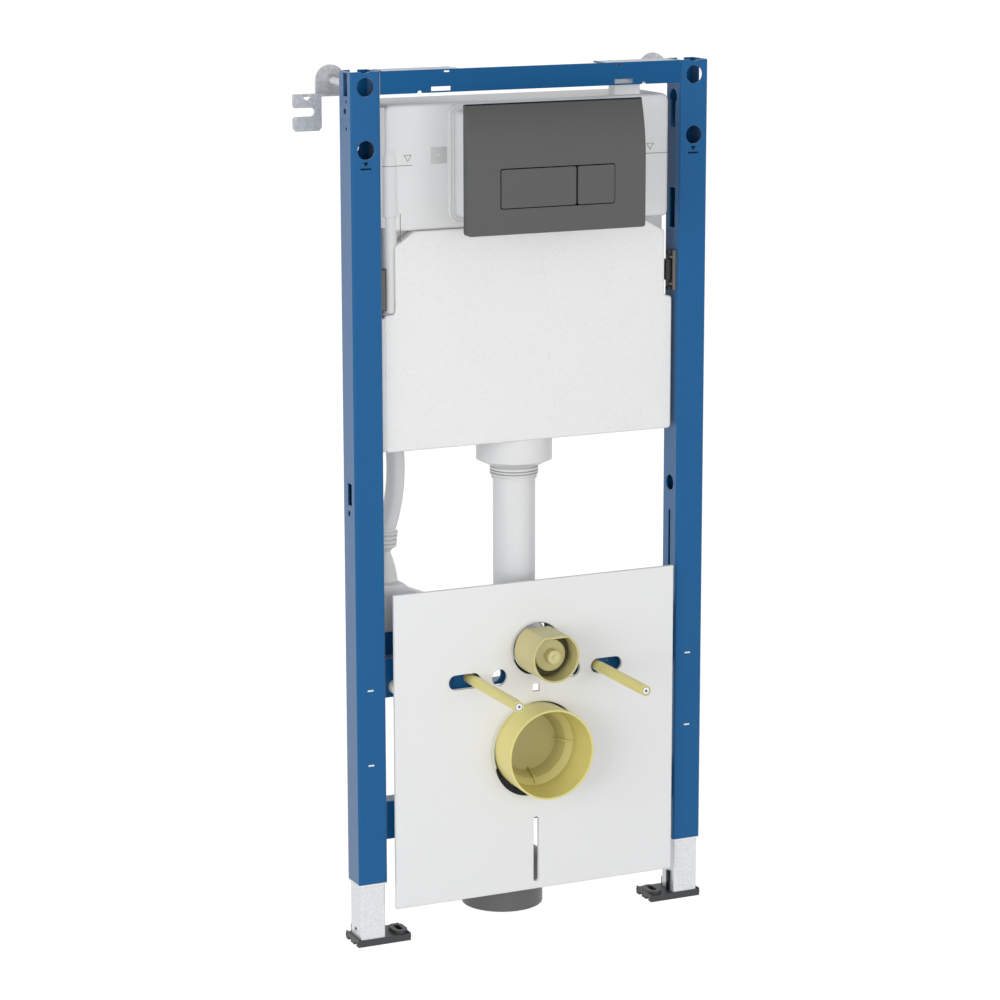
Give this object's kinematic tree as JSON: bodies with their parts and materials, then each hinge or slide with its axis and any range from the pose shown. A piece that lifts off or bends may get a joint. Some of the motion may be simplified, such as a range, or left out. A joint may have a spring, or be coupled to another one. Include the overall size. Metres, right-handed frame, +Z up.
{
  "type": "wall hung toilet frame",
  "caption": "Pre-wall steel frame for a wall hung toilet: telescoping legs, tank, flush plate with sprung buttons, drain bend, building plugs and bowl bolts.",
  "frame": {"origin": "on the underside of the left foot, on the axis of the left leg", "axes": "+X to the right as seen from the front, +Y towards the wall behind, +Z up"},
  "size_m": [0.572, 0.303, 1.138],
  "materials": {
    "blue_paint": "smooth blue powder coat",
    "zinc_steel": "bright zinc with a fine spangle",
    "bracket_steel": "galvanised folded sheet",
    "foot_plastic": "dark grey moulded plastic",
    "tank_plastic": "white moulded plastic",
    "foam": "white foam with a fine bead texture",
    "cover_plastic": "plain grey moulded cover",
    "button_plastic": "plain grey moulded buttons",
    "plug_plastic": "pale yellow building plugs and bolt sleeves",
    "drain_plastic": "grey drain plastic",
    "pad_foam": "white foam sheet",
    "clip_plastic": "dark grey clips",
    "bolt_steel": "zinc plated rod",
    "buffer_plastic": "cream spacer behind the foam sheet",
    "pipe_plastic": "white pipe and conduit plastic"
  },
  "bodies": {
    "left_leg_set": {"left_leg": "zinc_steel", "left_foot": "foot_plastic"},
    "frame": {"left_post": "blue_paint", "right_post": "blue_paint", "top_rail": "blue_paint", "wc_crossbar": "blue_paint", "lower_crossbar": "blue_paint", "left_wall_bracket": "bracket_steel", "right_wall_bracket": "bracket_steel", "left_bracket_rod": "bolt_steel", "right_bracket_rod": "bolt_steel", "left_bolt": "bolt_steel", "right_bolt": "bolt_steel", "left_bolt_sleeve": "plug_plastic", "right_bolt_sleeve": "plug_plastic", "left_buffer": "buffer_plastic", "right_buffer": "buffer_plastic", "cistern_body": "tank_plastic", "service_collar": "tank_plastic", "cistern_hanger": "tank_plastic", "inlet_pipe": "tank_plastic", "plate_mount": "tank_plastic", "insulation_block": "foam", "left_clip": "clip_plastic", "right_clip": "clip_plastic", "flush_plate": "cover_plastic", "flush_outlet": "pipe_plastic", "flush_pipe": "pipe_plastic", "drain_bend": "drain_plastic", "drain_strap": "zinc_steel", "flush_plug": "plug_plastic", "drain_plug": "plug_plastic", "flush_plug_core": "plug_plastic", "protective_plate": "pad_foam", "supply_conduit": "pipe_plastic", "conduit_boot": "pipe_plastic", "junction_box": "pipe_plastic"},
    "right_leg_set": {"right_leg": "zinc_steel", "right_foot": "foot_plastic"},
    "full_button": {"full_flush_button": "button_plastic"},
    "half_button": {"half_flush_button": "button_plastic"}
  },
  "joints": [
    {"name": "left_leg_slide", "type": "slide", "parent": "left_leg_set", "child": "frame", "axis": [0, 0, 1], "range_m": [-0.017, 0.183]},
    {"name": "right_leg_slide", "type": "slide", "parent": "frame", "child": "right_leg_set", "axis": [0, 0, -1], "range_m": [-0.017, 0.183]},
    {"name": "full_button_press", "type": "slide", "parent": "frame", "child": "full_button", "axis": [0, 1, 0], "range_m": [0, 0.004], "stiffness_N_per_m": 2500},
    {"name": "half_button_press", "type": "slide", "parent": "frame", "child": "half_button", "axis": [0, 1, 0], "range_m": [0, 0.004], "stiffness_N_per_m": 2500}
  ]
}
